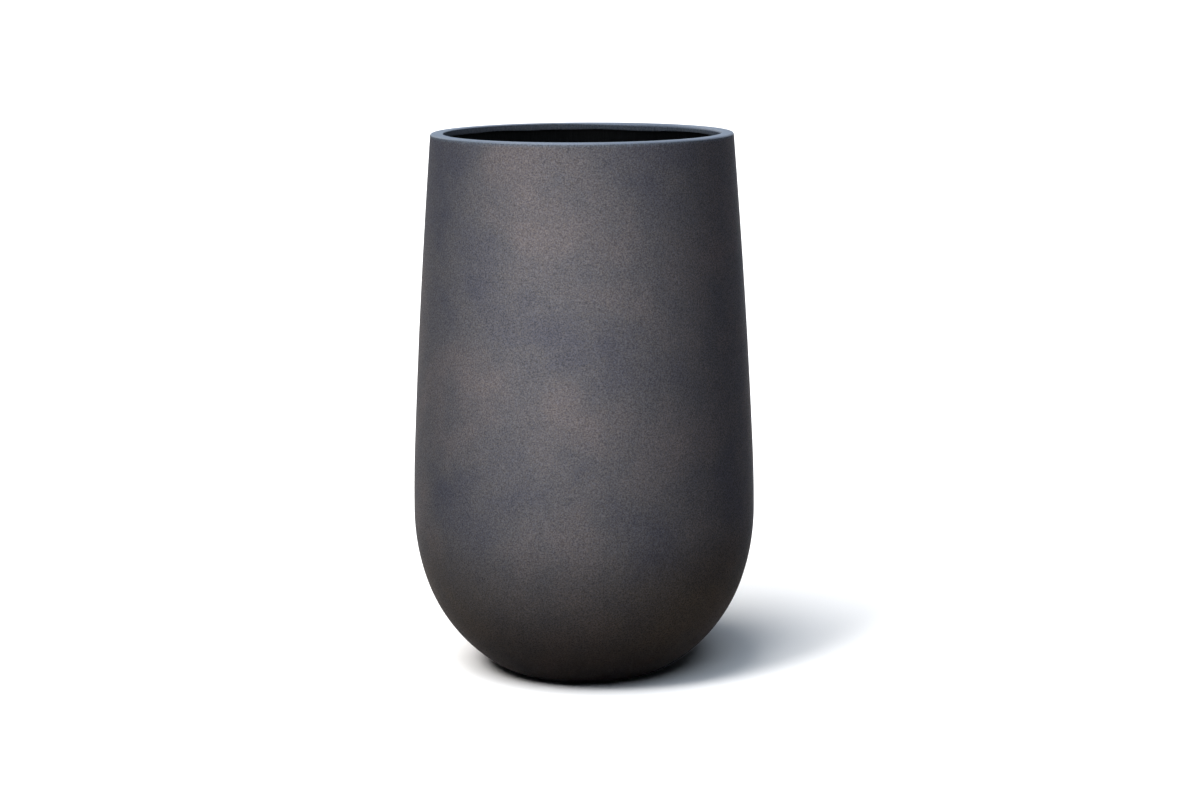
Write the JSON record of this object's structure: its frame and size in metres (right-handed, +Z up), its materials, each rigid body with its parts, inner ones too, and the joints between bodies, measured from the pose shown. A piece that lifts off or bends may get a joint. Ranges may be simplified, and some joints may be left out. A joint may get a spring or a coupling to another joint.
{
  "type": "tall planter",
  "caption": "Tall round barrel-shaped floor planter with a flat rim, narrow foot, bottom drain and a lift-out plant insert with swinging wire handles.",
  "frame": {"origin": "centre of the planter's footprint, on the floor under the rubber pads", "axes": "+Z up along the planter's axis, +X towards the right handle of the insert, -Y towards the viewer of the picture"},
  "size_m": [0.6123, 0.6124, 0.965],
  "materials": {
    "bronze_coat": "satin metal-powder coat on glass-fibre laminate, cloudy bronze grey",
    "raw_laminate": "dark brushed-out glass-fibre laminate",
    "black_polypropylene": "fine matte moulded",
    "galvanised_wire": "drawn galvanised wire",
    "grip_plastic": "moulded grip tube",
    "grey_nylon": "moulded nylon",
    "plug_plastic": "moulded nylon",
    "black_rubber": "matte rubber"
  },
  "bodies": {
    "planter": {"outer_shell": "bronze_coat", "return_lip": "bronze_coat", "insert_ledge": "raw_laminate", "drain_socket": "grey_nylon", "drain_gasket": "black_rubber", "drain_nut": "grey_nylon", "foot_pad_1": "black_rubber", "foot_pad_2": "black_rubber", "foot_pad_3": "black_rubber", "foot_pad_4": "black_rubber"},
    "insert": {"insert_pot": "black_polypropylene"},
    "plug": {"drain_plug": "plug_plastic", "plug_seal": "black_rubber"},
    "left_handle": {"bail_left": "galvanised_wire", "grip_left": "grip_plastic"},
    "right_handle": {"bail_right": "galvanised_wire", "grip_right": "grip_plastic"}
  },
  "joints": [
    {"name": "insert_lift", "type": "slide", "parent": "planter", "child": "insert", "axis": [0, 0, 1], "range_m": [0, 0.42]},
    {"name": "plug_pull", "type": "slide", "parent": "planter", "child": "plug", "axis": [0, 0, 1], "range_m": [0, 0.06]},
    {"name": "left_handle_swing", "type": "hinge", "parent": "insert", "child": "left_handle", "pos_m": [-0.20512, 0, 0.897], "axis": [0, -1, 0], "range_deg": [0, 175]},
    {"name": "right_handle_swing", "type": "hinge", "parent": "insert", "child": "right_handle", "pos_m": [0.20512, 0, 0.897], "axis": [0, 1, 0], "range_deg": [0, 175]}
  ]
}
